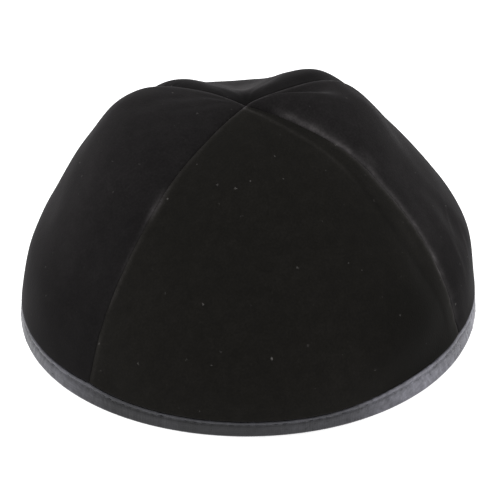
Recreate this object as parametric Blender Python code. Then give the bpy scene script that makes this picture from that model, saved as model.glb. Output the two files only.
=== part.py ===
"""Velvet skullcap: four shaped panels that meet at the crown, and a satin strip folded round their rim.

The cap stands on its rim on the XY plane, its centre on the Z axis and its front panel facing -Y.
Azimuths are in degrees, 0 at the front (-Y) and growing towards +X. Lengths are in metres.
"""

import math
from collections import namedtuple

import bpy
import numpy as np

# Sizes that can be set by themselves
RIM_RADIUS = 0.0900
CROWN_HEIGHT = 0.0805
FULLNESS = 0.0080
VELVET_WALL = 0.0013
BINDING_HEIGHT = 0.0063
BINDING_WALL = 0.0010
BINDING_ROUNDING = 0.0008
FIT_GAP = 0.0003
SEAM_ROLL_WIDTH = 0.0014
SEAM_ROLL_DEPTH = 0.0007
TUCK_HEIGHT = 0.0030
HEM_MARGIN = 0.0010
TIP_RADIUS = 0.0008
TIP_BLEND = 0.0060
CROWN_LEAN = 0.22
LEAN_AZIMUTH = 160.0
RIM_SQUARENESS = 0.007
RIM_CORNER_AZIMUTH = 24.0

# Mesh divisions
ROWS_ABOVE_HEM = 22
ROWS_IN_TUCK = 3
COLUMNS_ACROSS = 16
BINDING_COLUMNS = 80
SHARP_ANGLE = 50.0

# Where the columns of a rolled seam edge lie, as shares of SEAM_ROLL_WIDTH
ROLL_COLUMNS = (0.0, 0.12, 0.45, 1.0)

# The line that every seam follows, from the crown to the rim: how far down the row lies (0 to 1),
# its radius as a share of RIM_RADIUS and its height as a share of CROWN_HEIGHT
SeamRow = namedtuple("SeamRow", "down radius height")
SEAM_LINE = (
    SeamRow(0.000, 0.000, 1.000),
    SeamRow(0.167, 0.235, 0.980),
    SeamRow(0.333, 0.466, 0.904),
    SeamRow(0.500, 0.658, 0.736),
    SeamRow(0.667, 0.814, 0.525),
    SeamRow(0.800, 0.906, 0.329),
    SeamRow(0.911, 0.957, 0.150),
    SeamRow(1.000, 1.000, 0.000),
)

# The panels, each from one seam to the next: the azimuth of its first seam, how square its bulge is
# across (power), and how far its middle stands out from the seam line at each row of SEAM_LINE, as
# a share of FULLNESS
Panel = namedtuple("Panel", "name first_seam power swell")
PANELS = (
    Panel("panel_front", -50.5, 2.8, (0.0, 0.38, 0.44, 0.50, 0.62, 0.75, 0.56, 0.0)),
    Panel("panel_right", 50.4, 2.8, (0.0, 0.77, 0.47, 0.03, 0.22, 0.54, 0.32, 0.0)),
    Panel("panel_back", 115.9, 2.8, (0.0, 0.04, 0.30, 0.52, 0.25, 0.40, 0.30, 0.0)),
    Panel("panel_left", 222.0, 2.8, (0.0, 0.61, 1.09, 0.61, 0.25, 0.33, 0.25, 0.0)),
)

# Soft dents in the cloth: the panel, where the dent's middle lies across it (0 to 1) and its half
# width in that measure, how far down it starts and ends, and its depth as a share of FULLNESS
Dent = namedtuple("Dent", "panel across half_width start end depth")
DENTS = (
    Dent("panel_back", 0.53, 0.47, 0.00, 0.69, 1.33),
    Dent("panel_front", 0.92, 0.07, 0.40, 0.92, 0.08),
    Dent("panel_front", 0.77, 0.27, 0.78, 1.14, 0.32),
    Dent("panel_right", 0.73, 0.32, 0.00, 0.31, 0.77),
    Dent("panel_right", 0.27, 0.10, 0.50, 0.88, 0.10),
    Dent("panel_left", 0.26, 0.28, 0.00, 0.43, 0.17),
    Dent("panel_left", 0.88, 0.10, 0.35, 0.85, 0.15),
)

Finish = namedtuple("Finish", "name colour roughness metallic")
VELVET = Finish("black_velvet", (0.010, 0.009, 0.010, 1.0), 0.95, 0.0)
SATIN = Finish("charcoal_satin", (0.045, 0.043, 0.052, 1.0), 0.45, 0.0)


def clear_scene():
    """Remove what the scene holds."""
    for thing in list(bpy.data.objects):
        bpy.data.objects.remove(thing, do_unlink=True)


def make_material(finish):
    """A Principled material from a finish's colour, roughness and metallic value."""
    material = bpy.data.materials.new(finish.name)
    material.use_nodes = True
    shader = material.node_tree.nodes["Principled BSDF"]
    shader.inputs["Base Color"].default_value = finish.colour
    shader.inputs["Roughness"].default_value = finish.roughness
    shader.inputs["Metallic"].default_value = finish.metallic
    return material


def smooth_step(share):
    """0 below 0, 1 above 1, and a soft S between them: 3 t^2 - 2 t^3."""
    t = np.clip(share, 0.0, 1.0)
    return t * t * (3.0 - 2.0 * t)


def smooth_curve(places, values, at):
    """A cubic Hermite curve through the values at the given places, read at the places in at."""
    places = np.asarray(places, float)
    values = np.asarray(values, float)
    slopes = np.gradient(values, places, edge_order=2)
    left = np.clip(np.searchsorted(places, at, side="right") - 1, 0, len(places) - 2)
    span = places[left + 1] - places[left]
    t = (at - places[left]) / span
    rise = t * t * (3.0 - 2.0 * t)
    return (
        values[left] * (1.0 - rise)
        + values[left + 1] * rise
        + slopes[left] * span * t * (1.0 - t) ** 2
        + slopes[left + 1] * span * t * t * (t - 1.0)
    )


def column(rows, name):
    """One named column of a table."""
    return [getattr(row, name) for row in rows]


def last_seam(panel):
    """The azimuth where a panel ends: the first seam of the next one, counted onwards."""
    following = PANELS[(PANELS.index(panel) + 1) % len(PANELS)].first_seam
    return following if following > panel.first_seam else following + 360


def skin(panel, across, down):
    """Radius and height of the cap's outer skin before the crown leans.

    The seam line is pushed out along the line from the rim's centre. The push is the panel's swell at
    that row times 1 - |2 across - 1|^power, less the dents, which are cosine bumps.
    """
    places = column(SEAM_LINE, "down")
    radius = smooth_curve(places, column(SEAM_LINE, "radius"), down) * RIM_RADIUS
    height = smooth_curve(places, column(SEAM_LINE, "height"), down) * CROWN_HEIGHT
    bulge = 1.0 - np.abs(2.0 * across - 1.0) ** panel.power
    push = smooth_curve(places, panel.swell, down) * bulge
    for dent in DENTS:
        if dent.panel == panel.name:
            aside = np.clip((across - dent.across) / dent.half_width, -1.0, 1.0)
            along = np.clip((down - dent.start) / (dent.end - dent.start), 0.0, 1.0)
            push = push - dent.depth * np.cos(aside * math.pi / 2) ** 2 * np.sin(along * math.pi) ** 2
    reach = np.hypot(radius, height)
    grown = (reach + push * FULLNESS) / reach
    return radius * grown, height * grown


def row_at_height(height):
    """How far down the seam line is at a height."""
    heights = np.array(column(SEAM_LINE, "height")) * CROWN_HEIGHT
    return float(np.interp(height, heights[::-1], column(SEAM_LINE, "down")[::-1]))


def hem_radius(panel, across, height):
    """Outer radius of the straight hem, which runs from the skin above the binding down to the rim."""
    radius, top = skin(panel, across, row_at_height(BINDING_HEIGHT + HEM_MARGIN))
    return RIM_RADIUS + (radius - RIM_RADIUS) * height / top


def lean(radius, azimuth, height):
    """Points of the leaning cap: above the hem the cloth rises towards LEAN_AZIMUTH.

    The lower half of the cap is a little square. It is widest at RIM_CORNER_AZIMUTH and at each quarter
    turn from it, as 1 + RIM_SQUARENESS cos^2 of twice the angle from there.
    """
    angle = np.radians(azimuth)
    corner = np.cos(2.0 * (angle - math.radians(RIM_CORNER_AZIMUTH))) ** 2
    low = 1.0 - smooth_step(2.0 * height / CROWN_HEIGHT)
    radius = radius * (1.0 + RIM_SQUARENESS * corner * low)
    toward = radius * np.cos(angle - math.radians(LEAN_AZIMUTH))
    hem_top = BINDING_HEIGHT + HEM_MARGIN + TUCK_HEIGHT
    share = np.clip((height - hem_top) / (CROWN_HEIGHT - hem_top), 0.0, None)
    risen = height + CROWN_LEAN * toward * share
    return np.stack([radius * np.sin(angle), -radius * np.cos(angle), risen], axis=-1)


def in_hem(height):
    """1 where the cloth is inside the binding, running out to 0 over TUCK_HEIGHT above it."""
    return 1.0 - smooth_step((height - BINDING_HEIGHT - FIT_GAP) / TUCK_HEIGHT)


def panel_rows(panel, across):
    """Radius and height of a panel's outer face, a row for each step down from the tip to the hem's edge.

    Below the binding's top edge the cloth is tucked in by the binding's wall and a gap.
    """
    hem_top = BINDING_HEIGHT + HEM_MARGIN
    tip = TIP_RADIUS / RIM_RADIUS / SEAM_LINE[1].radius * SEAM_LINE[1].down
    share = np.linspace(0.0, 1.0, ROWS_ABOVE_HEM + 1)[:, None]
    down = tip + (row_at_height(hem_top) - tip) * share
    radius, height = skin(panel, across[None, :], down)
    edge = BINDING_WALL + FIT_GAP
    share = np.linspace(0.0, 1.0, ROWS_IN_TUCK + 1)[1:, None]
    hem_height = height[-1] + (edge - height[-1]) * share
    radius = np.vstack([radius, hem_radius(panel, across[None, :], hem_height)])
    height = np.vstack([height, hem_height])
    return radius - edge * in_hem(height), height


def panel_faces(panel):
    """The outer and the inner face of a panel, as grids of points.

    Columns close to the seams follow the rolled edge, where the outer face turns in along a quarter
    circle. The inner face lies one wall inside along the meridian's normal, which is level in the
    hem and upright at the tip.
    """
    width = math.radians(last_seam(panel) - panel.first_seam)
    even = np.linspace(0.0, 1.0, COLUMNS_ACROSS + 1)
    rolled = np.array(ROLL_COLUMNS) * SEAM_ROLL_WIDTH / (RIM_RADIUS * width)
    across = np.concatenate([rolled, even[1:-1], 1.0 - rolled[::-1]])
    radius, height = panel_rows(panel, across)
    slope_out = np.gradient(radius, axis=0)
    slope_down = np.gradient(height, axis=0)
    length = np.hypot(slope_out, slope_down)
    out = -slope_down / length * smooth_step(radius / TIP_BLEND)
    out = out + (1.0 - out) * in_hem(height)
    up = np.sqrt(1.0 - out * out)
    inner_radius = radius - VELVET_WALL * out
    inner_height = height - VELVET_WALL * up
    aside = np.minimum(across, 1.0 - across) * RIM_RADIUS * width / SEAM_ROLL_WIDTH
    roll = SEAM_ROLL_DEPTH * (1.0 - np.sqrt(1.0 - np.clip(1.0 - aside, 0.0, 1.0) ** 2))
    radius = radius - roll * out
    height = height - roll * up
    faces = []
    for face_radius, face_height in ((radius, height), (inner_radius, inner_height)):
        inset = np.arcsin(FIT_GAP / 2 / face_radius)
        angle = math.radians(panel.first_seam) + inset + (width - 2 * inset) * across[None, :]
        faces.append(lean(face_radius, np.degrees(angle), face_height))
    return faces


def grid_quads(rows, columns, first, around=False, flip=False):
    """Quads over a grid of points numbered from first, row by row, closed across if around."""
    row, place = np.meshgrid(np.arange(rows - 1), np.arange(columns if around else columns - 1), indexing="ij")
    after = (place + 1) % columns
    corners = [row * columns + place, (row + 1) * columns + place]
    corners += [(row + 1) * columns + after, row * columns + after]
    quads = np.stack([c.ravel() for c in corners], axis=-1) + first
    return quads[:, ::-1] if flip else quads


def closed_wall(outer, inner):
    """One closed mesh from an outer and an inner grid, joined along their four sides."""
    rows, columns = outer.shape[:2]
    count = rows * columns
    number = np.arange(count).reshape(rows, columns)
    border = np.concatenate([number[0, :-1], number[:-1, -1], number[-1, :0:-1], number[:0:-1, 0]])
    onward = np.roll(border, -1)
    rim = np.stack([border, onward, onward + count, border + count], axis=-1)
    quads = [grid_quads(rows, columns, 0), grid_quads(rows, columns, count, flip=True), rim]
    return np.concatenate([outer.reshape(-1, 3), inner.reshape(-1, 3)]), np.concatenate(quads)


def add_piece(name, points, quads, material):
    """A named object with its points in world space, shaded smooth but for its corners."""
    mesh = bpy.data.meshes.new(name)
    mesh.from_pydata(points.tolist(), [], quads.tolist())
    mesh.validate()
    mesh.materials.append(material)
    mesh.shade_smooth()
    mesh.set_sharp_from_angle(angle=math.radians(SHARP_ANGLE))
    piece = bpy.data.objects.new(name, mesh)
    bpy.context.collection.objects.link(piece)
    return piece


def make_panel(panel, material):
    """One velvet panel: a wall between its two seams, from its tip at the crown to its cut edge."""
    outer, inner = panel_faces(panel)
    points, quads = closed_wall(outer, inner)
    return add_piece(panel.name, points, quads, material)


def binding_section():
    """The folded strip's section, as inward offsets from the hem's outer face, and heights.

    It runs down the outer leg, round the fold and up the inner leg, then back inside the channel.
    """
    channel = VELVET_WALL + 2 * FIT_GAP
    width = 2 * BINDING_WALL + channel
    corner = BINDING_ROUNDING
    bevel = corner * (1.0 - math.sqrt(0.5))
    outside = [
        (bevel, BINDING_HEIGHT),
        (0.0, BINDING_HEIGHT - bevel),
        (0.0, corner),
        (bevel, bevel),
        (corner, 0.0),
        (width - corner, 0.0),
        (width - bevel, bevel),
        (width, corner),
        (width, BINDING_HEIGHT - bevel),
        (width - bevel, BINDING_HEIGHT),
    ]
    inside = [
        (width - BINDING_WALL, BINDING_HEIGHT),
        (width - BINDING_WALL, BINDING_WALL),
        (BINDING_WALL, BINDING_WALL),
        (BINDING_WALL, BINDING_HEIGHT),
    ]
    return np.array(outside + inside)


def panel_at(azimuth):
    """The panel that an azimuth falls on, and how far across it."""
    for panel in PANELS:
        start, end = panel.first_seam, last_seam(panel)
        turned = start + (azimuth - start) % 360
        if turned < end:
            return panel, (turned - start) / (end - start)
    return PANELS[0], 0.0


def make_binding(material):
    """The satin strip folded round the rim: its section carried round the hem, leaning as the hem does."""
    section = binding_section()
    rings = []
    for azimuth in np.arange(BINDING_COLUMNS) * 360.0 / BINDING_COLUMNS:
        panel, across = panel_at(azimuth)
        radius = hem_radius(panel, across, section[:, 1]) - section[:, 0]
        rings.append(lean(radius, azimuth, section[:, 1]))
    rings = np.array(rings)
    columns = len(section)
    closed = np.concatenate([rings, rings[:1]])
    quads = grid_quads(len(closed), columns, 0, around=True, flip=True) % (len(rings) * columns)
    return add_piece("rim_binding", rings.reshape(-1, 3), quads, material)


def main():
    """Build the cap."""
    clear_scene()
    velvet = {panel.name: make_material(VELVET._replace(name=f"{VELVET.name}_{panel.name}")) for panel in PANELS}
    for panel in PANELS:
        make_panel(panel, velvet[panel.name])
    make_binding(make_material(SATIN))


main()
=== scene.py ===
"""Finish of the velvet skullcap: the pile of its four panels, the satin binding round the rim and the
stitches.

Azimuths are in degrees, 0 at the front (-Y) and growing towards +X, and in radians inside the functions.
Lengths are in metres where no other unit is named. The tables of the cap's shape are those of the part's
source. A pair named ..._STEP is where a soft step starts and how wide it is.
"""

import math
from collections import namedtuple

import bpy
import numpy as np
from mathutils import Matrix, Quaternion, Vector


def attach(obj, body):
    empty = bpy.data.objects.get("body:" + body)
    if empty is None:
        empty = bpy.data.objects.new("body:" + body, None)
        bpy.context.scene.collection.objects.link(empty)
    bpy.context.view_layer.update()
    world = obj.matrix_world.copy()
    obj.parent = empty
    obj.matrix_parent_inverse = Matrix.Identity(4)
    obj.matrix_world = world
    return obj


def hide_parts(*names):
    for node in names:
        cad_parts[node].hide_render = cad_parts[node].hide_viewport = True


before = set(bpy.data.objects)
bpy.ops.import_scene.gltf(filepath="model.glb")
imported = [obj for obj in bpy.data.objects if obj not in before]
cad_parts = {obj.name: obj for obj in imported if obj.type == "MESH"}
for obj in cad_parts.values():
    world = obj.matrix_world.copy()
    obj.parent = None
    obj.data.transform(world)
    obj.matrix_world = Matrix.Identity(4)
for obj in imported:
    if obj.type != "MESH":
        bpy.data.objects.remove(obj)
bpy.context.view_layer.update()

# Sizes of the cap, as in the part's source
RIM_RADIUS = 0.0900
CROWN_HEIGHT = 0.0805
FULLNESS = 0.0080
VELVET_WALL = 0.0013
BINDING_HEIGHT = 0.0063
BINDING_WALL = 0.0010
FIT_GAP = 0.0003
HEM_MARGIN = 0.0010
TIP_BLEND = 0.0060
TUCK_HEIGHT = 0.0030
CROWN_LEAN = 0.22
LEAN_AZIMUTH = 160.0
RIM_SQUARENESS = 0.007
RIM_CORNER_AZIMUTH = 24.0

SeamRow = namedtuple("SeamRow", "down radius height")
SEAM_LINE = (
    SeamRow(0.000, 0.000, 1.000),
    SeamRow(0.167, 0.235, 0.980),
    SeamRow(0.333, 0.466, 0.904),
    SeamRow(0.500, 0.658, 0.736),
    SeamRow(0.667, 0.814, 0.525),
    SeamRow(0.800, 0.906, 0.329),
    SeamRow(0.911, 0.957, 0.150),
    SeamRow(1.000, 1.000, 0.000),
)

Panel = namedtuple("Panel", "name first_seam power swell")
PANELS = (
    Panel("panel_front", -50.5, 2.8, (0.0, 0.38, 0.44, 0.50, 0.62, 0.75, 0.56, 0.0)),
    Panel("panel_right", 50.4, 2.8, (0.0, 0.77, 0.47, 0.03, 0.22, 0.54, 0.32, 0.0)),
    Panel("panel_back", 115.9, 2.8, (0.0, 0.04, 0.30, 0.52, 0.25, 0.40, 0.30, 0.0)),
    Panel("panel_left", 222.0, 2.8, (0.0, 0.61, 1.09, 0.61, 0.25, 0.33, 0.25, 0.0)),
)

Dent = namedtuple("Dent", "panel across half_width start end depth")
DENTS = (
    Dent("panel_back", 0.53, 0.47, 0.00, 0.69, 1.33),
    Dent("panel_front", 0.92, 0.07, 0.40, 0.92, 0.08),
    Dent("panel_front", 0.77, 0.27, 0.78, 1.14, 0.32),
    Dent("panel_right", 0.73, 0.32, 0.00, 0.31, 0.77),
    Dent("panel_right", 0.27, 0.10, 0.50, 0.88, 0.10),
    Dent("panel_left", 0.26, 0.28, 0.00, 0.43, 0.17),
    Dent("panel_left", 0.88, 0.10, 0.35, 0.85, 0.15),
)

# The fine shape of the velvet: how each panel rolls in at a seam, the seam allowance that lifts it a
# little beside the seam, and the small puckers there
TIP_RADIUS = 0.00012
SEAM_SLIT = 0.00001
ROLL_WIDTH = 0.0009
ROLL_WIDTH_AT_CROWN = 0.0011
ROLL_WIDENS_ABOVE = 0.45
ROLL_DEPTH = 0.00028
ALLOWANCE_WIDTH = 0.0062
ALLOWANCE_THICKNESS = 0.0006
ALLOWANCE_EDGE = 0.0006
ALLOWANCE_LIFT = 0.00012
ALLOWANCE_FADE = 0.0045
ALLOWANCE_STEP = (0.004, 0.012)
PUCKER_HEIGHT = 0.00007
PUCKER_LENGTH = 0.0064
PUCKER_REACH = 0.0042
PUCKER_STEP = (0.020, 0.030)
WAVE_HEIGHT = 0.00010
WAVE_FREE_OF_SEAM = 0.012
FREE_OF_HEM = 0.004

# The velvet comes out from behind the binding's lip within the first height, and swells a little up to
# the second
HEM_TURN = 0.0007
HEM_RISE = 0.0012
HEM_PUFF = 0.00015
HEM_PUFF_HEIGHT = 0.005

# Patches where the pile's colour is painted lighter (above 0) or darker, in stops, in the measures of the
# dents. The back panel's lit valley is a painted highlight and the band beside the front-left seam painted
# shade; the front and right panels are painted darker low down where their sheen grazes. The left panel is
# paler in its middle and darker towards the bottom.
PilePatch = namedtuple("PilePatch", "panel across half_width start end stops")
PILE_LIGHT_PATCHES = (
    PilePatch("panel_front", 0.84, 0.26, 0.55, 1.30, -1.1),
    PilePatch("panel_left", 0.90, 0.14, 0.15, 1.00, -0.25),
    PilePatch("panel_left", 0.50, 0.36, 0.05, 0.80, 0.20),
    PilePatch("panel_left", 0.75, 0.40, 0.55, 1.25, -0.60),
    PilePatch("panel_right", 0.15, 0.45, 0.60, 1.25, -0.80),
    PilePatch("panel_back", 0.51, 0.22, 0.00, 0.45, 1.6),
)

# Lines along the seams where the cloth lies a little higher or lower and its pile is painted lighter or
# darker: painted highlights (above 0) where the panels roll in at the seams and on the creases, and painted
# shade (below 0) beside the seams. The panel and its seam, how far down the line starts and ends, its
# distance from the seam at either end and its width in millimetres, its tone in stops and its height in
# millimetres
Line = namedtuple("Line", "panel seam start end at_start at_end width stops lift")
LINES = (
    Line("panel_front", "first", -0.10, 0.48, 0.6, 0.6, 1.5, 1.05, 0.03),
    Line("panel_front", "first", -0.10, 0.12, 0.5, 0.6, 1.2, 0.5, 0.00),
    Line("panel_front", "first", 0.32, 0.50, 0.8, 0.8, 1.7, 0.9, 0.03),
    Line("panel_front", "first", 0.44, 0.76, 0.6, 0.8, 1.3, 1.1, 0.03),
    Line("panel_front", "first", 0.72, 0.99, 1.2, 1.3, 1.1, 0.8, 0.03),
    Line("panel_left", "last", 0.33, 0.50, 0.1, 0.1, 1.1, 2.0, 0.00),
    Line("panel_left", "last", 0.44, 0.66, 0.1, 0.1, 0.8, 0.9, 0.00),
    Line("panel_left", "last", 0.40, 1.10, 3.0, 4.0, 6.0, -0.30, 0.00),
    Line("panel_front", "last", -0.08, 0.14, 0.5, 6.0, 1.0, 1.3, 0.03),
    Line("panel_front", "last", 0.07, 0.44, 5.4, 10.4, 1.1, 0.8, 0.03),
    Line("panel_front", "last", -0.02, 0.26, 0.6, 4.6, 2.4, -0.3, -0.10),
    Line("panel_front", "last", 0.24, 0.80, 0.0, 0.0, 1.7, 1.7, 0.02),
    Line("panel_front", "last", 0.34, 0.60, 1.6, 2.0, 1.6, 0.5, 0.02),
    Line("panel_front", "last", 0.68, 0.99, 0.0, 0.0, 2.2, 2.2, 0.02),
    Line("panel_front", "last", 0.32, 0.62, 8.0, 12.6, 1.5, -0.45, -0.05),
    Line("panel_front", "last", 0.56, 0.92, 12.4, 9.5, 1.6, -0.45, -0.05),
    Line("panel_front", "last", 0.50, 0.72, 6.0, 8.0, 2.0, 0.40, 0.03),
    Line("panel_right", "first", 0.06, 0.40, 0.5, 0.3, 1.0, 2.0, 0.04),
    Line("panel_right", "first", 0.14, 0.46, 1.8, 1.6, 1.5, 0.6, 0.00),
    Line("panel_right", "first", 0.34, 0.44, 4.0, 4.4, 1.5, 0.8, 0.00),
    Line("panel_right", "first", 0.34, 0.74, 0.5, 0.5, 1.6, 1.7, 0.02),
    Line("panel_right", "first", 0.64, 0.96, 0.0, 0.0, 2.0, 1.7, 0.00),
    Line("panel_right", "first", 0.65, 0.75, 32.0, 15.0, 1.3, 1.1, 0.10),
    Line("panel_right", "first", 0.68, 0.88, 17.0, 12.5, 1.3, 1.2, 0.10),
    Line("panel_right", "first", 0.70, 0.88, 33.0, 18.5, 1.3, 1.2, 0.10),
    Line("panel_right", "last", -0.10, 0.34, 0.6, 0.6, 1.2, 1.3, 0.03),
    Line("panel_right", "last", 0.26, 0.98, 0.6, 0.6, 0.9, 0.6, 0.03),
    Line("panel_back", "first", -0.10, 0.70, 4.5, 5.0, 6.0, -1.3, -0.05),
    Line("panel_back", "last", -0.10, 0.70, 4.5, 5.0, 6.0, -1.3, -0.05),
    Line("panel_left", "first", -0.10, 0.34, 0.6, 0.6, 0.9, 1.3, 0.03),
    Line("panel_left", "first", 0.26, 0.98, 0.6, 0.6, 0.9, 0.6, 0.03),
)
LINE_FADE = 0.08
LINE_UNEVENNESS = 0.06
# A painted highlight on the front panel's rounded tip at the apex, in stops
TIP_LIGHT = 1.7
TIP_STEP = (0.0012, 0.0010)
# And a painted highlight on the pile of all four panels where it meets the binding
HEM_LIGHT = 1.3

# The satin's reflectance round the rim, with painted light: paler round the right front and the left,
# darker at the front. Azimuth and reflectance
SATIN_REFLECTANCE_AND_LIGHT = (
    (-180, 0.020),
    (-110, 0.040),
    (-81, 0.046),
    (-67, 0.052),
    (-55, 0.058),
    (-42, 0.007),
    (-28, 0.013),
    (-10, 0.013),
    (8, 0.030),
    (22, 0.110),
    (31, 0.130),
    (43, 0.110),
    (56, 0.130),
    (85, 0.060),
    (130, 0.020),
    (180, 0.020),
)
BRIGHTEST_SATIN = 0.25
SATIN_TINT = (0.96, 0.95, 1.11)

# Mesh divisions; the columns by the seam are in millimetres from it
ROWS_OF_CLOTH = 210
ROWS_IN_HEM = 20
CLOTH_COLUMN = 0.0012
COLUMNS_BY_THE_SEAM = (
    *(0.0, 0.06, 0.16, 0.30, 0.48, 0.70, 0.95, 1.25, 1.60, 2.0, 2.5, 3.1, 3.8, 4.6, 5.5, 6.5),
    *np.arange(7.3, 19.0, 0.8),
)
BINDING_COLUMNS = 1240

# Half of the folded strip's section, in millimetres: inset from the hem's outer face, and height. It runs
# from inside the channel over the lip, down the outer leg and under the fold to the strip's middle. The
# other half mirrors it.
SectionPoint = namedtuple("SectionPoint", "inset height")
HALF_SECTION = (
    SectionPoint(1.95, 1.05),
    SectionPoint(1.30, 1.15),
    SectionPoint(1.00, 1.60),
    SectionPoint(0.98, 3.90),
    SectionPoint(0.95, 5.85),
    SectionPoint(0.74, 6.23),
    SectionPoint(0.38, 6.32),
    SectionPoint(0.04, 6.16),
    SectionPoint(-0.10, 5.80),
    SectionPoint(0.00, 5.40),
    SectionPoint(0.22, 5.05),
    SectionPoint(0.30, 4.70),
    SectionPoint(0.14, 4.32),
    SectionPoint(-0.02, 3.90),
    SectionPoint(-0.13, 3.00),
    SectionPoint(-0.17, 1.80),
    SectionPoint(-0.22, 1.00),
    SectionPoint(-0.20, 0.46),
    SectionPoint(-0.04, 0.13),
    SectionPoint(0.50, 0.05),
    SectionPoint(1.95, 0.05),
)
SECTION_STEPS = 2
# The part of the section, from 0 to 1 along it, whose puckers show, and the height up to which the floor
# presses them flat
SHOWN_FROM_STEP = (0.17, 0.05)
SHOWN_TO_STEP = (0.78, 0.05)
ABOVE_FLOOR = 0.0009

# The groove that the stitches draw in, the lip over it and the fold: height, width, and how much darker
# (a share) or paler (a reflectance) the satin is there. The groove's darkening is painted shade and the
# lip's paler line a painted highlight.
GROOVE_INSET = 0.00030
GROOVE_HEIGHT = 0.00470
GROOVE_WIDTH = 0.0005
GROOVE_PAINTED_SHADE = 0.30
DRAWN_IN = 0.03e-3
LIP_HEIGHT = 0.0060
LIP_WIDTH = 0.00045
LIP_PAINTED_HIGHLIGHT = 0.018
FOLD_HEIGHT = 0.0003
FOLD_WIDTH = 0.0003
FOLD_PALER = 0.012

# Puckers of the binding: height, fewest and most of them round the rim, seed, and their slant
Pucker = namedtuple("Pucker", "height fewest most seed slant")
BINDING_PUCKERS = (
    Pucker(0.060e-3, 30, 80, 5, 12.0),
    Pucker(0.030e-3, 90, 190, 6, 22.0),
    Pucker(0.014e-3, 200, 290, 7, 22.0),
)

# Stitches. The thread's colour is a share of the satin's beside it, painted light round the rim included.
STITCHES_ROUND = 188
STITCH_LENGTH = 0.0021
STITCH_UNEVENNESS = 0.14
STITCH_DIP = 0.00022
STITCH_SINK = 0.00003
STITCH_STEPS = 7
THREAD = 0.00022
THREAD_SIDES = 8
STITCH_SHADE = 1.05
SEAM_STITCH_PITCH = 0.0026
SEAM_STITCH_DIP = 0.0002

# The camera: it looks at the target from an azimuth and an elevation, a little rolled
CAMERA_TARGET = (0.00088, -0.00018, 0.0186)
CAMERA_AZIMUTH = -11.25
CAMERA_ELEVATION = 31.28
CAMERA_DISTANCE = 0.450
CAMERA_ROLL = -0.77
CAMERA_LENS = 82.1

# The lightest that the pile's colour gets, where the painted highlights along a seam are brightest, its
# tint there, and how soon the pile takes that tint as it lightens
BRIGHTEST_PILE = 0.10
PALE_TINT = (1.0, 0.93, 0.95)
PALE_SOON = 3.5
LINT_COLOUR = (0.13, 0.125, 0.12)
LINT_STRENGTH = 0.6


def smooth_step(share):
    """0 below 0, 1 above 1, and a soft S between them: 3 t^2 - 2 t^3."""
    t = np.clip(share, 0.0, 1.0)
    return t * t * (3.0 - 2.0 * t)


def soft_step(value, start, width):
    """The same soft S, 0 below start and 1 above start + width."""
    return smooth_step((value - start) / width)


def smooth_curve(places, values, at):
    """A cubic Hermite curve through the values at the given places, read at the places in at."""
    places = np.asarray(places, float)
    values = np.asarray(values, float)
    slopes = np.gradient(values, places, edge_order=2)
    left = np.clip(np.searchsorted(places, at, side="right") - 1, 0, len(places) - 2)
    span = places[left + 1] - places[left]
    t = (at - places[left]) / span
    rise = t * t * (3.0 - 2.0 * t)
    return (
        values[left] * (1.0 - rise)
        + values[left + 1] * rise
        + slopes[left] * span * t * (1.0 - t) ** 2
        + slopes[left + 1] * span * t * t * (t - 1.0)
    )


def column(rows, name):
    """One named column of a table."""
    return [getattr(row, name) for row in rows]


def last_seam(panel):
    """The azimuth where a panel ends: the first seam of the next one, counted onwards."""
    following = PANELS[(PANELS.index(panel) + 1) % len(PANELS)].first_seam
    return following if following > panel.first_seam else following + 360


def width_of(panel):
    """The angle that a panel takes round the cap, in radians."""
    return math.radians(last_seam(panel) - panel.first_seam)


def bump(spot, across, down):
    """A soft oblong bump, 1 in its middle: cos^2 across times sin^2 along."""
    aside = np.clip((across - spot.across) / spot.half_width, -1.0, 1.0)
    along = np.clip((down - spot.start) / (spot.end - spot.start), 0.0, 1.0)
    return np.cos(aside * math.pi / 2) ** 2 * np.sin(along * math.pi) ** 2


def skin(panel, across, down):
    """Radius and height of the cap's outer skin before the crown leans.

    The seam line is pushed out along the line from the rim's centre. The push is the panel's swell at
    that row times 1 - |2 across - 1|^power, less the dents.
    """
    places = column(SEAM_LINE, "down")
    radius = smooth_curve(places, column(SEAM_LINE, "radius"), down) * RIM_RADIUS
    height = smooth_curve(places, column(SEAM_LINE, "height"), down) * CROWN_HEIGHT
    push = smooth_curve(places, panel.swell, down) * (1.0 - np.abs(2.0 * across - 1.0) ** panel.power)
    for dent in DENTS:
        if dent.panel == panel.name:
            push = push - dent.depth * bump(dent, across, down)
    reach = np.hypot(radius, height)
    grown = (reach + push * FULLNESS) / reach
    return radius * grown, height * grown


def row_at_height(height):
    """How far down the seam line is at a height."""
    heights = np.array(column(SEAM_LINE, "height")) * CROWN_HEIGHT
    return float(np.interp(height, heights[::-1], column(SEAM_LINE, "down")[::-1]))


def hem_radius(panel, across, height):
    """Outer radius of the straight hem, which runs from the skin above the binding down to the rim."""
    radius, top = skin(panel, across, row_at_height(BINDING_HEIGHT + HEM_MARGIN))
    return RIM_RADIUS + (radius - RIM_RADIUS) * height / top


def lean(radius, azimuth, height):
    """Points of the leaning cap, azimuth in radians: above the hem the cloth rises towards LEAN_AZIMUTH.

    The lower half is a little square: 1 + RIM_SQUARENESS cos^2 of twice the angle from RIM_CORNER_AZIMUTH.
    """
    corner = np.cos(2.0 * (azimuth - math.radians(RIM_CORNER_AZIMUTH))) ** 2
    low = 1.0 - smooth_step(2.0 * height / CROWN_HEIGHT)
    radius = radius * (1.0 + RIM_SQUARENESS * corner * low)
    toward = radius * np.cos(azimuth - math.radians(LEAN_AZIMUTH))
    hem_top = BINDING_HEIGHT + HEM_MARGIN + TUCK_HEIGHT
    share = np.clip((height - hem_top) / (CROWN_HEIGHT - hem_top), 0.0, None)
    risen = height + CROWN_LEAN * toward * share
    return np.stack([radius * np.sin(azimuth), -radius * np.cos(azimuth), risen], axis=-1)


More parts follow.
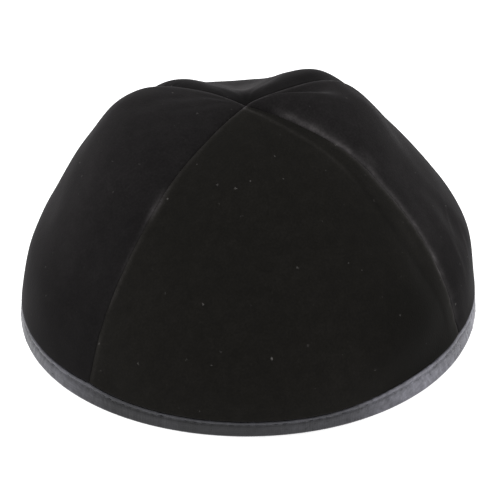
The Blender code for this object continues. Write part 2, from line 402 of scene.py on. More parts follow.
def seam_slope(radius, height):
    """The outward and upward parts of the normal along a meridian.

    The normal is level in the hem and upright at the tip.
    """
    slope_out = np.gradient(radius, axis=0)
    slope_down = np.gradient(height, axis=0)
    length = np.hypot(slope_out, slope_down)
    out = -slope_down / length * smooth_step(radius / TIP_BLEND)
    hem = 1.0 - smooth_step((height - BINDING_HEIGHT - FIT_GAP) / TUCK_HEIGHT)
    out = out + (1.0 - out) * hem
    return out, np.sqrt(np.clip(1.0 - out * out, 0.0, 1.0))


def across_columns(panel):
    """The columns of a panel, crowded together where it rolls in at its seams."""
    full = RIM_RADIUS * width_of(panel)
    edge = np.array(COLUMNS_BY_THE_SEAM) / 1000
    count = int(round((full - 2 * edge[-1]) / CLOTH_COLUMN))
    middle = np.linspace(edge[-1], full - edge[-1], count + 1)
    return np.concatenate([edge[:-1], middle, full - edge[-2::-1]]) / full


def ripple(at, slowest, fastest, seed, beside=0.0, slant=0.0):
    """Irregular ripples: twelve sines of at, each of a whole number of turns from slowest to fastest.

    The numbers, the phases and each sine's share of the slant, which shifts it by what lies beside, are
    drawn with the seed. The sum has a spread of 1.
    """
    draw = np.random.default_rng(seed)
    total = 0.0
    for turns in draw.integers(slowest, fastest + 1, 12):
        phase, share = draw.uniform(0.0, 2 * math.pi), draw.uniform(-1.0, 1.0)
        total = total + np.sin(turns * at + phase + share * slant * beside)
    return total / math.sqrt(6.0)


def roll_depth(aside, width):
    """How far a panel drops at a distance aside from its seam: a quarter ellipse, width by ROLL_DEPTH."""
    inward = np.clip(1.0 - aside / width, 0.0, 1.0)
    return ROLL_DEPTH * (1.0 - np.sqrt(1.0 - inward**2))


def puckers(run, seam, aside, scale):
    """Small ripples that run out from a seam.

    They are two sines of the run along it that die away as exp(-(aside / reach)^2). The seam's azimuth in
    radians shifts the phase, so the two panels that share it ripple together.
    """
    turn = 2 * math.pi / PUCKER_LENGTH
    drift = 1.4 * np.sin(run * turn / 4.3 + seam)
    wave = np.sin(run * turn + drift + 3 * seam) + 0.6 * np.sin(run * turn * 1.83 + 2.0 * drift - seam)
    swell = 0.65 + 0.35 * np.sin(run * turn / 6.1 + 2 * seam)
    return PUCKER_HEIGHT * scale * swell * wave * np.exp(-((aside / PUCKER_REACH) ** 2))


def slow_waves(panel, across, run):
    """The cloth's faint unevenness: three long crossed sines, each 25 to 45 mm from crest to crest."""
    place = across * width_of(panel) * RIM_RADIUS + 0.4 * PANELS.index(panel)
    first = np.sin(2 * math.pi * (place / 0.041 + run / 0.061))
    second = np.sin(2 * math.pi * (place / 0.033 - run / 0.037) + 1.0)
    third = np.sin(2 * math.pi * (place / 0.026 + run / 0.027) + 2.5)
    return WAVE_HEIGHT * (first + 0.7 * second + 0.45 * third)


def line_shape(line, aside, run, down, seed):
    """A line beside a seam: exp(-((aside - at) / width)^2), from 0 to 1, wavering and uneven along its run.

    Its distance from the seam goes evenly from at_start to at_end, and it starts and ends softly.
    """
    share = (down - line.start) / (line.end - line.start)
    at = line.at_start + (line.at_end - line.at_start) * share
    at = at + LINE_UNEVENNESS * line.width * ripple(run, 200, 900, seed)
    near = np.exp(-(((aside * 1000 - at) / line.width) ** 2))
    fade = min(LINE_FADE, (line.end - line.start) / 2)
    shown = smooth_step((down - line.start) / fade) * smooth_step((line.end - down) / fade)
    return near * shown * (1.0 + LINE_UNEVENNESS * ripple(run, 300, 1700, seed + 1))


def panel_surface(panel):
    """The outer and inner face of a panel as grids of points, the painted light and shade and lie of its pile,
    and the cloth's own measure.

    The outer face is the skin, tucked in under the binding's lip, dropped by the roll at the seams and moved
    by the puckers and the slow waves, all along the meridian's normal. The inner face lies one wall inside,
    and a step further where the seam allowances are pressed flat on it.
    """
    across = across_columns(panel)[None, :]
    hem_top = row_at_height(BINDING_HEIGHT + HEM_MARGIN)
    tip = TIP_RADIUS / RIM_RADIUS / SEAM_LINE[1].radius * SEAM_LINE[1].down
    share = np.linspace(0.0, 1.0, ROWS_OF_CLOTH + 1)[:, None]
    down = tip + (hem_top - tip) * share
    radius, height = skin(panel, across, down)
    edge = BINDING_WALL + FIT_GAP
    share = np.linspace(0.0, 1.0, ROWS_IN_HEM + 1)[1:, None]
    hem_height = height[-1] + (edge - height[-1]) * share
    radius = np.vstack([radius, hem_radius(panel, across, hem_height)])
    height = np.vstack([height, hem_height])
    down = np.vstack([down, hem_top + (1.0 - hem_top) * share])

    out, up = seam_slope(radius, height)
    run = np.cumsum(np.hypot(np.gradient(radius, axis=0), np.gradient(height, axis=0)), axis=0)
    run = run[:, :1]
    from_first = across * width_of(panel) * radius
    from_last = (1.0 - across) * width_of(panel) * radius
    aside = np.minimum(from_first, from_last)
    above = height - BINDING_HEIGHT
    tucked = 1.0 - smooth_step(above / HEM_TURN)
    free = smooth_step(above / FREE_OF_HEM)
    risen = smooth_step(above / HEM_RISE)
    started = soft_step(run, *ALLOWANCE_STEP)
    rippled = soft_step(run, *PUCKER_STEP) * free

    roll_width = ROLL_WIDTH_AT_CROWN + (ROLL_WIDTH - ROLL_WIDTH_AT_CROWN) * smooth_step(down / ROLL_WIDENS_ABOVE)
    lowered = roll_depth(aside, roll_width)
    lowered = lowered - ALLOWANCE_LIFT * (1.0 - soft_step(aside, ALLOWANCE_WIDTH, ALLOWANCE_FADE)) * started
    first, last = math.radians(panel.first_seam), math.radians(last_seam(panel) % 360)
    lowered = lowered + puckers(run, first, from_first, rippled) + puckers(run, last, from_last, rippled)
    lowered = lowered + slow_waves(panel, across, run) * smooth_step(aside / WAVE_FREE_OF_SEAM) * free
    # The pile's painted light and shade, in stops: a painted highlight on the front tip, the painted lines by the
    # seams, the patches and a painted highlight by the hem
    front_tip = 1.0 - soft_step(run, *TIP_STEP)
    painted_light_and_nap = np.zeros_like(lowered) + (TIP_LIGHT * front_tip if panel.name == "panel_front" else 0.0)
    for number, line in enumerate(LINES):
        if line.panel == panel.name:
            beside = from_first if line.seam == "first" else from_last
            shape = line_shape(line, beside, run, down, 40 + 2 * number)
            painted_light_and_nap = painted_light_and_nap + line.stops * shape
            lowered = lowered - line.lift / 1000 * shape * free
    for pile_patch in PILE_LIGHT_PATCHES:
        if pile_patch.panel == panel.name:
            painted_light_and_nap = painted_light_and_nap + pile_patch.stops * bump(pile_patch, across, down)
    painted_light_and_nap = painted_light_and_nap + HEM_LIGHT * (1.0 - risen)
    lowered = lowered + edge * tucked - HEM_PUFF * risen * (1.0 - smooth_step(above / HEM_PUFF_HEIGHT))

    inside = VELVET_WALL + edge * tucked
    inside = inside + ALLOWANCE_THICKNESS * (1.0 - soft_step(aside, ALLOWANCE_WIDTH, ALLOWANCE_EDGE)) * free
    faces = []
    for depth in (lowered, inside):
        face_radius = np.maximum(radius - depth * out, TIP_RADIUS)
        inset = np.arcsin(np.minimum(SEAM_SLIT / face_radius, 1.0))
        azimuth = math.radians(panel.first_seam) + inset + (width_of(panel) - 2 * inset) * across
        faces.append(lean(face_radius, azimuth, height - depth * up))

    measure = np.stack(np.broadcast_arrays(across * width_of(panel) * RIM_RADIUS, run), axis=-1)
    return faces, painted_light_and_nap, measure


def grid_quads(rows, columns, flip=False):
    """Quads over a grid of points, row by row."""
    number = np.arange(rows * columns).reshape(rows, columns)
    quads = np.stack([number[:-1, :-1], number[1:, :-1], number[1:, 1:], number[:-1, 1:]], axis=-1).reshape(-1, 4)
    return quads[:, ::-1] if flip else quads


def add_mesh(name, points, quads, materials, corner_uv=None, indices=None, caps=()):
    """A smooth-shaded object at the origin, its points in world space, with a UV map for each quad corner."""
    mesh = bpy.data.meshes.new(name)
    mesh.from_pydata(points.reshape(-1, 3).tolist(), [], quads.tolist() + list(caps))
    for material in materials:
        mesh.materials.append(material)
    if indices is not None:
        mesh.polygons.foreach_set("material_index", np.asarray(indices, np.int32))
    if corner_uv is not None:
        layer = mesh.uv_layers.new(name="cloth")
        layer.data.foreach_set("uv", np.asarray(corner_uv, np.float32).ravel())
    mesh.shade_smooth()
    mesh.set_sharp_from_angle(angle=math.radians(60))
    mesh.update()
    piece = bpy.data.objects.new(name, mesh)
    bpy.context.collection.objects.link(piece)
    return piece


def set_attribute(piece, name, values):
    """A number for each point of a piece, which its material reads by name."""
    layer = piece.data.attributes.new(name, "FLOAT", "POINT")
    layer.data.foreach_set("value", np.asarray(values, np.float32).ravel())


def make_panel(panel, pile, backing):
    """One velvet panel: pile outside and round its edges, woven backing inside."""
    (outer, inner), painted_light_and_nap, measure = panel_surface(panel)
    rows, columns = painted_light_and_nap.shape
    count = rows * columns
    number = np.arange(count).reshape(rows, columns)
    border = np.concatenate([number[0, :-1], number[:-1, -1], number[-1, :0:-1], number[:0:-1, 0]])
    onward = np.roll(border, -1)
    rim = np.stack([border, onward, onward + count, border + count], axis=-1)
    face = grid_quads(rows, columns)
    quads = np.concatenate([face, face[:, ::-1] + count, rim])
    indices = np.repeat([0, 1, 0], [len(face), len(face), len(rim)])
    flat = measure.reshape(-1, 2)
    piece = add_mesh(
        panel.name.replace("panel", "velvet"),
        np.concatenate([outer.reshape(-1, 3), inner.reshape(-1, 3)]),
        quads,
        [pile, backing],
        corner_uv=flat[quads.ravel() % count],
        indices=indices,
    )
    # The pile's painted light and shade in stops, which its material reads
    set_attribute(piece, "painted_light_and_nap", np.tile(painted_light_and_nap.ravel(), 2))
    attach(piece, "root")
    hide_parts(panel.name)


def hem_at(azimuth, height, inset):
    """Points of the hem at azimuths in radians: its outer radius at each height, less an inset."""
    degrees = np.degrees(azimuth)
    radius = np.zeros(np.broadcast(azimuth, height, inset).shape)
    for panel in PANELS:
        span = last_seam(panel) - panel.first_seam
        turned = (degrees - panel.first_seam) % 360
        here = np.broadcast_to(turned < span, radius.shape)
        across = np.broadcast_to(np.clip(turned / span, 0.0, 1.0), radius.shape)
        radius = np.where(here, hem_radius(panel, across, np.broadcast_to(height, radius.shape)), radius)
    return lean(*np.broadcast_arrays(radius - inset, azimuth, height))


def binding_section():
    """The strip's closed section, smoothed: inset, height, and how far along it each point lies (0 to 1)."""
    half = np.array(HALF_SECTION) / 1000
    width = 2 * BINDING_WALL + VELVET_WALL + 2 * FIT_GAP
    other = half[-2:0:-1] * [-1.0, 1.0] + [width, 0.0]
    loop = np.concatenate([half, other])
    loop = np.concatenate([loop[-3:], loop, loop[:4]])
    lengths = np.concatenate([[0.0], np.cumsum(np.hypot(*np.diff(loop, axis=0).T))])
    start, end = 3, len(loop) - 4
    steps = np.arange(start * SECTION_STEPS, end * SECTION_STEPS) / SECTION_STEPS
    at = np.interp(steps, np.arange(len(loop)), lengths)
    inset = smooth_curve(lengths, loop[:, 0], at)
    height = smooth_curve(lengths, loop[:, 1], at)
    return inset, height, (at - lengths[start]) / (lengths[end] - lengths[start])


def satin_reflectance_and_light(azimuth):
    """The satin's reflectance at azimuths in radians, with its painted light round the rim."""
    places, shades = zip(*SATIN_REFLECTANCE_AND_LIGHT)
    return np.interp((np.degrees(azimuth) + 180.0) % 360.0 - 180.0, places, shades)


def make_binding(satin):
    """The satin strip: its section carried round the hem, drawn in at each stitch and unevenly puckered across.

    The puckers are three sets of ripples round the rim that slant with the section. They move the strip
    along the section's own normal, outside the channel and clear of the floor.
    """
    inset, height, along = binding_section()
    azimuth = np.arange(BINDING_COLUMNS)[:, None] * 2 * math.pi / BINDING_COLUMNS
    normal = np.stack([-np.gradient(height), np.gradient(inset)], axis=-1)
    normal = -normal / np.linalg.norm(normal, axis=-1, keepdims=True)
    shown = soft_step(along, *SHOWN_FROM_STEP) * (1.0 - soft_step(along, *SHOWN_TO_STEP))
    shown = shown * smooth_step(height / ABOVE_FLOOR)
    puckered = sum(
        each.height * ripple(azimuth, each.fewest, each.most, each.seed, along, each.slant)
        for each in BINDING_PUCKERS
    )
    patch = np.clip(0.75 + 0.25 * ripple(azimuth, 5, 24, 8), 0.2, 1.5)
    near_groove = np.exp(-(((height - GROOVE_HEIGHT) / GROOVE_WIDTH) ** 2)) * shown
    drawn_in = DRAWN_IN * near_groove * np.cos(STITCHES_ROUND * azimuth)
    move = puckered * patch * shown - drawn_in
    points = hem_at(azimuth, height + move * normal[:, 1], inset + move * normal[:, 0])

    columns = len(inset)
    wide = grid_quads(BINDING_COLUMNS + 1, columns + 1, flip=True)
    ring, place = np.divmod(wide, columns + 1)
    quads = ring % BINDING_COLUMNS * columns + place % columns
    uv = np.stack([ring / BINDING_COLUMNS, np.append(along, 1.0)[place]], axis=-1)
    piece = add_mesh("satin_binding", points, quads, [satin], corner_uv=uv)
    lip = np.exp(-(((height - LIP_HEIGHT) / LIP_WIDTH) ** 2))
    fold = np.exp(-(((height - FOLD_HEIGHT) / FOLD_WIDTH) ** 2))
    # The satin's reflectance with painted light: paler round the right front and the left, painted shade in the
    # groove and a painted highlight on the lip
    reflectance_and_painted_light = satin_reflectance_and_light(azimuth) * (1.0 + 0.10 * ripple(azimuth, 6, 40, 10)) * (1.0 - GROOVE_PAINTED_SHADE * near_groove)
    reflectance_and_painted_light = reflectance_and_painted_light + (LIP_PAINTED_HIGHLIGHT * lip + FOLD_PALER * fold) * shown
    set_attribute(piece, "reflectance_and_painted_light", reflectance_and_painted_light)
    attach(piece, "root")
    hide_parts("rim_binding")


def sew(name, centre, outward, sideways, thread):
    """Many short stitches in one mesh, from arrays of (stitch, step along it, xyz).

    Each is a tube round its centre line that thins to its ends as sqrt(1 - t^4), closed by a cap.
    """
    steps = centre.shape[1]
    around = THREAD_SIDES
    t = np.linspace(-1.0, 1.0, steps)
    thick = THREAD / 2 * np.sqrt(np.clip(1.0 - t**4, 0.02, 1.0))[None, :, None, None]
    angle = (np.arange(around) * 2 * math.pi / around)[None, None, :, None]
    points = centre[:, :, None] + thick * (
        np.cos(angle) * outward[:, :, None] + np.sin(angle) * sideways[:, :, None]
    )
    wide = grid_quads(steps, around + 1)
    ring, place = np.divmod(wide, around + 1)
    one = ring * around + place % around
    starts = np.arange(len(centre)) * steps * around
    quads = (one[None] + starts[:, None, None]).reshape(-1, 4)
    first = np.arange(around)[::-1][None] + starts[:, None]
    final = np.arange(around)[None] + starts[:, None] + (steps - 1) * around
    piece = add_mesh(name, points, quads, [thread], caps=first.tolist() + final.tolist())
    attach(piece, "root")
    return piece


def make_binding_stitches(satin):
    """The edge stitching of the binding, outside and inside.

    Each stitch lies in the groove and dips at its ends as t^4.
    """
    width = 2 * BINDING_WALL + VELVET_WALL + 2 * FIT_GAP
    t = np.linspace(-1.0, 1.0, STITCH_STEPS)[None, :]
    middle = (np.arange(STITCHES_ROUND)[:, None]) * 2 * math.pi / STITCHES_ROUND
    length = STITCH_LENGTH * (1.0 + STITCH_UNEVENNESS * ripple(middle, 20, 90, 9))
    azimuth = middle + t * length / 2 / RIM_RADIUS
    sink = STITCH_DIP * t**4 + STITCH_SINK
    centres, outs = [], []
    for inset, side in ((GROOVE_INSET + sink, 1.0), (width - GROOVE_INSET - sink, -1.0)):
        centres.append(hem_at(azimuth, GROOVE_HEIGHT + 0 * azimuth, inset))
        outs.append(side * np.stack([np.sin(azimuth), -np.cos(azimuth), 0 * azimuth], axis=-1))
    centre = np.concatenate(centres)
    outward = np.concatenate(outs)
    up = np.cross(outward, np.gradient(centre, axis=1))
    up = up / np.linalg.norm(up, axis=-1, keepdims=True)
    piece = sew("binding_stitches", centre, outward, up, satin)
    # The thread takes the satin's painted light round the rim
    set_attribute(piece, "reflectance_and_painted_light", np.tile(np.repeat(STITCH_SHADE * satin_reflectance_and_light(azimuth), THREAD_SIDES), 2))


def make_seam_stitches(thread):
    """The stitches of the four seams, which show in the crease between the allowances inside the cap."""
    down = np.linspace(0.05, row_at_height(BINDING_HEIGHT + 0.001), 400)
    radius = smooth_curve(column(SEAM_LINE, "down"), column(SEAM_LINE, "radius"), down) * RIM_RADIUS
    height = smooth_curve(column(SEAM_LINE, "down"), column(SEAM_LINE, "height"), down) * CROWN_HEIGHT
    out, up = seam_slope(radius, height)
    run = np.concatenate([[0.0], np.cumsum(np.hypot(np.diff(radius), np.diff(height)))])
    t = np.linspace(-1.0, 1.0, STITCH_STEPS)[None, :]
    middle = np.arange(SEAM_STITCH_PITCH, run[-1] - SEAM_STITCH_PITCH, SEAM_STITCH_PITCH)[:, None]
    at = middle + t * STITCH_LENGTH / 2
    depth = VELVET_WALL + ALLOWANCE_THICKNESS - SEAM_STITCH_DIP * t**4
    line_radius = np.interp(at, run, radius) - depth * np.interp(at, run, out)
    line_height = np.interp(at, run, height) - depth * np.interp(at, run, up)
    centres, outs = [], []
    for panel in PANELS:
        azimuth = math.radians(panel.first_seam)
        centres.append(lean(line_radius, azimuth, line_height))
        level, rise = np.interp(at, run, out), np.interp(at, run, up)
        outs.append(-np.stack([level * math.sin(azimuth), -level * math.cos(azimuth), rise], axis=-1))
    centre = np.concatenate(centres)
    along = np.gradient(centre, axis=1)
    sideways = np.cross(np.concatenate(outs), along)
    sideways = sideways / np.linalg.norm(sideways, axis=-1, keepdims=True)
    outward = np.cross(along, sideways)
    outward = outward / np.linalg.norm(outward, axis=-1, keepdims=True)
    sew("seam_stitches", centre, outward, sideways, thread)


def put(tree, kind, links=None, **settings):
    """A shader node with its settings, and its inputs linked to sockets or set to values."""
    node = tree.nodes.new(kind)
    for name, value in settings.items():
        setattr(node, name, value)
    for key, value in (links or {}).items():
        if isinstance(value, bpy.types.NodeSocket):
            tree.links.new(value, node.inputs[key])
        else:
            node.inputs[key].default_value = value
    return node


def sum_of(tree, operation, *values, clamp=False):
    """The result socket of a Math node."""
    return put(tree, "ShaderNodeMath", dict(enumerate(values)), operation=operation, use_clamp=clamp).outputs[0]


def new_group(name, inputs, outputs):
    """A shader node group with named sockets.

    Each input is (name, kind, default value) and each output (name, kind).
    """
    tree = bpy.data.node_groups.new(name, "ShaderNodeTree")
    for label, kind, value in inputs:
        socket = tree.interface.new_socket(label, in_out="INPUT", socket_type="NodeSocket" + kind)
        if value is not None:
            socket.default_value = value
    for label, kind in outputs:
        tree.interface.new_socket(label, in_out="OUTPUT", socket_type="NodeSocket" + kind)
    start = tree.nodes.new("NodeGroupInput")
    end = tree.nodes.new("NodeGroupOutput")
    return tree, start.outputs, end


def use_group(tree, group, links):
    """The outputs of a node that stands for a group, with its inputs linked or set."""
    return put(tree, "ShaderNodeGroup", links, node_tree=group).outputs


NOISES = ("Large", "Middle", "Fine")


def mottle_group():
    """Uneven tone and relief: noise at a large, a middle and a fine scale, each with its own strength."""
    tree, given, end = new_group(
        "mottle",
        [
            ("Vector", "Vector", None),
            ("Large Scale", "Float", 30.0),
            ("Middle Scale", "Float", 170.0),
            ("Fine Scale", "Float", 2200.0),
            ("Large", "Float", 0.4),
            ("Middle", "Float", 0.3),
            ("Fine", "Float", 0.3),
        ],
        [("Tone", "Float"), ("Height", "Float")],
    )
    tones = []
    for name, detail in zip(NOISES, (2.0, 3.0, 2.0)):
        noise = put(
            tree,
            "ShaderNodeTexNoise",
            {"Vector": given["Vector"], "Scale": given[name + " Scale"], "Detail": detail, "Roughness": 0.55},
        )
        centred = sum_of(tree, "SUBTRACT", noise.outputs["Fac"], 0.5)
        tones.append(sum_of(tree, "MULTIPLY", centred, given[name]))
    relief = sum_of(tree, "ADD", tones[1], tones[2])
    tree.links.new(sum_of(tree, "ADD", tones[0], relief), end.inputs["Tone"])
    tree.links.new(relief, end.inputs["Height"])
    return tree


def use_mottle(tree, groups, place, scales, strengths):
    """The mottle's outputs, with a scale and a strength for each of its three noises."""
    values = {"Vector": place}
    for name, scale, strength in zip(NOISES, scales, strengths):
        values[name + " Scale"] = scale
        values[name] = strength
    return use_group(tree, groups["mottle"], values)


def lint_group():
    """Sparse pale specks round the points of a Voronoi pattern, whose space is bent by fine noise."""
    tree, given, end = new_group(
        "lint",
        [
            ("Vector", "Vector", None),
            ("Spacing", "Float", 0.008),
            ("Size", "Float", 0.0004),
            ("Bend", "Float", 0.0006),
            ("Rarity", "Float", 3.0),
        ],
        [("Mask", "Float")],
    )
    bend = put(tree, "ShaderNodeTexNoise", {"Vector": given["Vector"], "Scale": 1700.0, "Detail": 2.0})
    vector = "ShaderNodeVectorMath"
    away = put(tree, vector, {0: bend.outputs["Color"], 1: (0.5, 0.5, 0.5)}, operation="SUBTRACT")
    pushed = put(tree, vector, {0: away.outputs[0], "Scale": given["Bend"]}, operation="SCALE")
    moved = put(tree, vector, {0: given["Vector"], 1: pushed.outputs[0]}, operation="ADD")
    cells = sum_of(tree, "DIVIDE", 1.0, given["Spacing"])
    spots = put(tree, "ShaderNodeTexVoronoi", {"Vector": moved.outputs[0], "Scale": cells, "Randomness": 1.0})
    reach = sum_of(tree, "MULTIPLY", given["Size"], cells)
    chance = put(tree, "ShaderNodeSeparateColor", {"Color": spots.outputs["Color"]})
    near = sum_of(tree, "DIVIDE", spots.outputs["Distance"], reach)
    mask = sum_of(tree, "SUBTRACT", 1.0, near, clamp=True)
    strength = sum_of(tree, "POWER", chance.outputs["Red"], given["Rarity"])
    lit = sum_of(tree, "MULTIPLY", sum_of(tree, "MULTIPLY", mask, 2.0, clamp=True), strength)
    tree.links.new(lit, end.inputs["Mask"])
    return tree


def weave_group():
    """Threads over and under: two sines of the cloth's own UV, one for each way, that noise makes uneven."""
    tree, given, end = new_group(
        "weave",
        [
            ("Vector", "Vector", None),
            ("Across", "Float", 2000.0),
            ("Along", "Float", 2000.0),
            ("Cross Share", "Float", 0.5),
            ("Unevenness", "Float", 0.4),
        ],
        [("Height", "Float")],
    )
    parts = put(tree, "ShaderNodeSeparateXYZ", {0: given["Vector"]})
    noise = put(tree, "ShaderNodeTexNoise", {"Vector": given["Vector"], "Scale": 40.0, "Detail": 2.0})
    wander = sum_of(tree, "MULTIPLY", noise.outputs["Fac"], given["Unevenness"])
    waves = []
    for axis, name in (("X", "Across"), ("Y", "Along")):
        turn = sum_of(tree, "MULTIPLY", parts.outputs[axis], sum_of(tree, "MULTIPLY", given[name], 2 * math.pi))
        waves.append(sum_of(tree, "SINE", sum_of(tree, "ADD", turn, sum_of(tree, "MULTIPLY", wander, 6.0))))
    kept = sum_of(tree, "SUBTRACT", 1.0, given["Cross Share"])
    mixed = sum_of(
        tree,
        "ADD",
        sum_of(tree, "MULTIPLY", waves[0], kept),
        sum_of(tree, "MULTIPLY", waves[1], given["Cross Share"]),
    )
    tree.links.new(mixed, end.inputs["Height"])
    return tree


def new_material(name, **values):
    """A material, its tree and its Principled shader, whose plain sockets are set here."""
    material = bpy.data.materials.new(name)
    material.use_nodes = True
    tree = material.node_tree
    shader = tree.nodes["Principled BSDF"]
    for label, value in values.items():
        shader.inputs[label.replace("_", " ")].default_value = value
    return material, tree, shader


def colour_between(tree, factor, dark, light):
    """A colour that goes from dark to light with the factor. Each may be a plain colour or a socket."""
    mix = put(tree, "ShaderNodeMix", data_type="RGBA")
    tree.links.new(factor, mix.inputs[0])
    for place, colour in ((6, dark), (7, light)):
        if isinstance(colour, bpy.types.NodeSocket):
            tree.links.new(colour, mix.inputs[place])
        else:
            mix.inputs[place].default_value = (*colour, 1.0)
    return mix.outputs[2]


def finish_shader(tree, shader, colour, rough, height, strength, distance):
    """Links the colour, the roughness and a bump of the height, by a strength and a distance, to the shader."""
    tree.links.new(colour, shader.inputs["Base Color"])
    tree.links.new(rough, shader.inputs["Roughness"])
    relief = put(tree, "ShaderNodeBump", {"Height": height, "Strength": strength, "Distance": distance})
    tree.links.new(relief.outputs[0], shader.inputs["Normal"])


def pile_material(name, groups, level, tint, sheen, sheen_tint, large):
    """Velvet pile: black, its tone shifted in stops by painted light and shade and the lie of the nap, with a
    soft sheen and a little lint.

    Its own colour is the level, a reflectance, in the tint. Where the painted highlights along a seam are
    brightest it turns paler.
    """
    material, tree, shader = new_material(
        name,
        Sheen_Weight=sheen,
        Sheen_Roughness=0.32,
        Sheen_Tint=(*sheen_tint, 1.0),
        Specular_IOR_Level=0.06,
    )
    place = put(tree, "ShaderNodeTexCoord").outputs["Object"]
    painted_light_and_nap = put(tree, "ShaderNodeAttribute", attribute_name="painted_light_and_nap").outputs["Fac"]
    tone = use_mottle(tree, groups, place, (30.0, 230.0, 1300.0), (large, 1.0, 1.6))
    stops = sum_of(tree, "POWER", 2.0, sum_of(tree, "ADD", painted_light_and_nap, tone["Tone"]))
    factor = sum_of(tree, "MULTIPLY", stops, level / BRIGHTEST_PILE, clamp=True)
    brightest = [BRIGHTEST_PILE * part for part in tint]
    pale = [BRIGHTEST_PILE * part for part in PALE_TINT]
    dye_and_highlight_tint = colour_between(tree, sum_of(tree, "MULTIPLY", factor, PALE_SOON, clamp=True), brightest, pale)
    colour = colour_between(tree, factor, (0.0, 0.0, 0.0), dye_and_highlight_tint)
    specks = use_group(
        tree,
        groups["lint"],
        {"Vector": place, "Spacing": 0.0056, "Size": 0.00046, "Bend": 0.0016, "Rarity": 2.5},
    )
    turned = {"Vector": place, "Rotation": (0.5, 0.9, 0.3), "Scale": (1.0, 1.0, 0.3)}
    drawn = put(tree, "ShaderNodeMapping", turned)
    fibres = use_group(
        tree,
        groups["lint"],
        {"Vector": drawn.outputs[0], "Spacing": 0.0070, "Size": 0.00036, "Bend": 0.0012, "Rarity": 2.0},
    )
    lint = sum_of(tree, "MULTIPLY", sum_of(tree, "MAXIMUM", specks["Mask"], fibres["Mask"]), LINT_STRENGTH)
    colour = colour_between(tree, lint, colour, LINT_COLOUR)
    rough = sum_of(tree, "ADD", 0.9, sum_of(tree, "MULTIPLY", tone["Tone"], 0.1), clamp=True)
    finish_shader(tree, shader, colour, rough, tone["Height"], 0.4, 0.00012)
    return material


def backing_material(groups):
    """The woven back of the velvet: dull black threads, both ways alike."""
    material, tree, shader = new_material(
        "woven_backing", Sheen_Weight=0.05, Sheen_Roughness=0.6, Specular_IOR_Level=0.25
    )
    place = put(tree, "ShaderNodeTexCoord").outputs["Object"]
    cloth = put(tree, "ShaderNodeUVMap", uv_map="cloth").outputs["UV"]
    threads = use_group(
        tree,
        groups["weave"],
        {"Vector": cloth, "Across": 1700.0, "Along": 1700.0, "Cross Share": 0.5, "Unevenness": 0.5},
    )
    tone = use_mottle(tree, groups, place, (22.0, 240.0, 1900.0), (0.35, 0.3, 0.3))
    factor = sum_of(tree, "ADD", tone["Tone"], sum_of(tree, "MULTIPLY", threads["Height"], 0.22))
    factor = sum_of(tree, "ADD", factor, 0.5, clamp=True)
    colour = colour_between(tree, factor, (0.008, 0.008, 0.009), (0.030, 0.029, 0.031))
    rough = sum_of(tree, "SUBTRACT", 0.9, sum_of(tree, "MULTIPLY", factor, 0.15))
    finish_shader(tree, shader, colour, rough, threads["Height"], 0.4, 0.00015)
    return material


def satin_material(groups):
    """Charcoal satin: smooth threads that lie across the strip, with a soft shine that the ribs break up.

    Its colour is a reflectance read from a point attribute, in SATIN_TINT, made uneven in stops by the mottle
    and the threads. The reflectance holds painted light: paler round the right front and the left, painted
    shade in the groove and a painted highlight on the lip.
    """
    material, tree, shader = new_material(
        "charcoal_satin",
        Sheen_Weight=0.06,
        Sheen_Roughness=0.40,
        Sheen_Tint=(0.74, 0.76, 1.0, 1.0),
        Specular_IOR_Level=0.28,
    )
    place = put(tree, "ShaderNodeTexCoord").outputs["Object"]
    strip = put(tree, "ShaderNodeUVMap", uv_map="cloth").outputs["UV"]
    threads = use_group(
        tree,
        groups["weave"],
        {"Vector": strip, "Across": 940.0, "Along": 34.0, "Cross Share": 0.25, "Unevenness": 0.35},
    )
    tone = use_mottle(tree, groups, place, (70.0, 520.0, 2100.0), (0.6, 1.1, 0.25))
    factor = sum_of(tree, "ADD", tone["Tone"], sum_of(tree, "MULTIPLY", threads["Height"], 0.06))
    reflectance_and_painted_light = put(tree, "ShaderNodeAttribute", attribute_name="reflectance_and_painted_light").outputs["Fac"]
    stops = sum_of(tree, "POWER", 2.0, sum_of(tree, "MULTIPLY", factor, 2.2))
    lit = sum_of(tree, "MULTIPLY", sum_of(tree, "DIVIDE", reflectance_and_painted_light, BRIGHTEST_SATIN), stops, clamp=True)
    colour = colour_between(tree, lit, (0.0, 0.0, 0.0), [BRIGHTEST_SATIN * part for part in SATIN_TINT])
    rough = sum_of(tree, "ADD", 0.32, sum_of(tree, "MULTIPLY", tone["Tone"], 0.25), clamp=True)
    height = sum_of(tree, "ADD", sum_of(tree, "MULTIPLY", threads["Height"], 0.35), tone["Height"])
    finish_shader(tree, shader, colour, rough, height, 0.5, 0.0002)
    return material


def thread_material(groups):
    """Black sewing thread, with the fine relief of its twist."""
    material, tree, shader = new_material("black_thread", Sheen_Weight=0.1, Sheen_Roughness=0.4)
    place = put(tree, "ShaderNodeTexCoord").outputs["Object"]
    tone = use_mottle(tree, groups, place, (60.0, 1200.0, 5000.0), (0.3, 0.4, 0.6))
    factor = sum_of(tree, "ADD", tone["Tone"], 0.5, clamp=True)
    colour = colour_between(tree, factor, (0.006, 0.006, 0.007), (0.024, 0.023, 0.027))
    rough = sum_of(tree, "SUBTRACT", 0.75, sum_of(tree, "MULTIPLY", factor, 0.25))
    finish_shader(tree, shader, colour, rough, tone["Height"], 0.5, 0.00005)
    return material


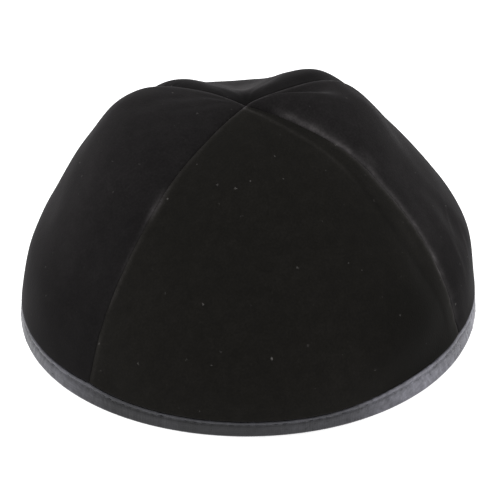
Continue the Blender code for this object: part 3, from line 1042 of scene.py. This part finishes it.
def paper_material(groups):
    """The white paper that the cap stands on, lit from below as a light table is."""
    material, tree, shader = new_material(
        "white_paper",
        Specular_IOR_Level=0.1,
        Roughness=0.9,
        Emission_Color=(1.0, 1.0, 1.0, 1.0),
        Emission_Strength=0.5,
    )
    place = put(tree, "ShaderNodeTexCoord").outputs["Object"]
    tone = use_mottle(tree, groups, place, (3.0, 40.0, 600.0), (0.1, 0.05, 0.05))
    factor = sum_of(tree, "ADD", tone["Tone"], 0.5, clamp=True)
    colour = colour_between(tree, factor, (0.88, 0.88, 0.88), (0.93, 0.93, 0.93))
    tree.links.new(colour, shader.inputs["Base Color"])
    return material


def make_floor(paper):
    """A round sheet of paper, 6 m across, as rings of a polar grid."""
    reach = np.array([0.002, 0.1, 0.25, 0.5, 1.0, 1.7, 3.0])[:, None]
    turn = np.arange(96)[None, :] * 2 * math.pi / 96
    points = np.stack(np.broadcast_arrays(reach * np.cos(turn), reach * np.sin(turn), 0.0 * reach), axis=-1)
    wide = grid_quads(len(reach), 97)
    ring, place = np.divmod(wide, 97)
    floor = add_mesh("floor", points, ring * 96 + place % 96, [paper], caps=[list(range(96))])


def add_lamp(name, place, width, height, power, target=(0.0, 0.0, 0.03)):
    """A large soft lamp that faces the target."""
    light = bpy.data.lights.new(name, "AREA")
    light.shape = "RECTANGLE"
    light.size = width
    light.size_y = height
    light.energy = power
    lamp = bpy.data.objects.new(name, light)
    bpy.context.collection.objects.link(lamp)
    lamp.location = place
    lamp.rotation_euler = (Vector(place) - Vector(target)).to_track_quat("Z", "Y").to_euler()


def make_light():
    """A white studio: even light from all round, a large soft lamp above and a fill on either side."""
    world = bpy.data.worlds.new("studio")
    world.use_nodes = True
    backdrop = world.node_tree.nodes["Background"]
    backdrop.inputs["Color"].default_value = (1.0, 1.0, 1.0, 1.0)
    backdrop.inputs["Strength"].default_value = 0.9
    bpy.context.scene.world = world
    add_lamp("lamp_above", (-0.3, 0.2, 1.5), 1.4, 1.4, 9.0)
    add_lamp("lamp_left", (-1.3, 0.2, 0.6), 0.8, 0.8, 2.0)
    add_lamp("lamp_right", (1.3, 0.3, 0.6), 0.8, 0.8, 1.5)
    add_lamp("lamp_low_right", (1.25, -0.25, 0.18), 0.8, 0.4, 1.8)
    bpy.context.scene.view_settings.view_transform = "Standard"


def make_camera():
    """The camera of the photograph: a long lens that looks down on the front of the cap."""
    turn, rise = math.radians(CAMERA_AZIMUTH), math.radians(CAMERA_ELEVATION)
    back = Vector((math.sin(turn) * math.cos(rise), -math.cos(turn) * math.cos(rise), math.sin(rise)))
    data = bpy.data.cameras.new("camera")
    data.lens = CAMERA_LENS
    data.sensor_width = 36.0
    camera = bpy.data.objects.new("camera", data)
    bpy.context.collection.objects.link(camera)
    camera.location = Vector(CAMERA_TARGET) + back * CAMERA_DISTANCE
    rolled = back.to_track_quat("Z", "Y") @ Quaternion((0.0, 0.0, 1.0), math.radians(CAMERA_ROLL))
    camera.rotation_euler = rolled.to_euler()
    bpy.context.scene.camera = camera


def main():
    """Dress the cap, and set the floor, the light and the camera."""
    groups = {"mottle": mottle_group(), "lint": lint_group(), "weave": weave_group()}
    backing = backing_material(groups)
    warm, cool = (1.0, 0.925, 0.75), (1.0, 0.91, 0.94)
    grey, lilac = (0.80, 0.77, 0.73), (0.80, 0.76, 0.81)
    # The four velvets are copies of one pile: the front's lower level and sheen and the sides' higher ones are
    # partly painted shade and light for how each panel faces, and partly the lie of each panel's pile
    piles = {
        "panel_front": pile_material("velvet_front", groups, 0.0069, warm, 0.026, grey, 0.5),
        "panel_right": pile_material("velvet_right", groups, 0.0098, cool, 0.046, lilac, 0.8),
        "panel_back": pile_material("velvet_back", groups, 0.0105, cool, 0.055, lilac, 0.8),
        "panel_left": pile_material("velvet_left", groups, 0.0096, cool, 0.048, lilac, 0.8),
    }
    for panel in PANELS:
        make_panel(panel, piles[panel.name], backing)
    satin = satin_material(groups)
    make_binding(satin)
    make_binding_stitches(satin)
    make_seam_stitches(thread_material(groups))
    make_floor(paper_material(groups))
    make_light()
    make_camera()


main()
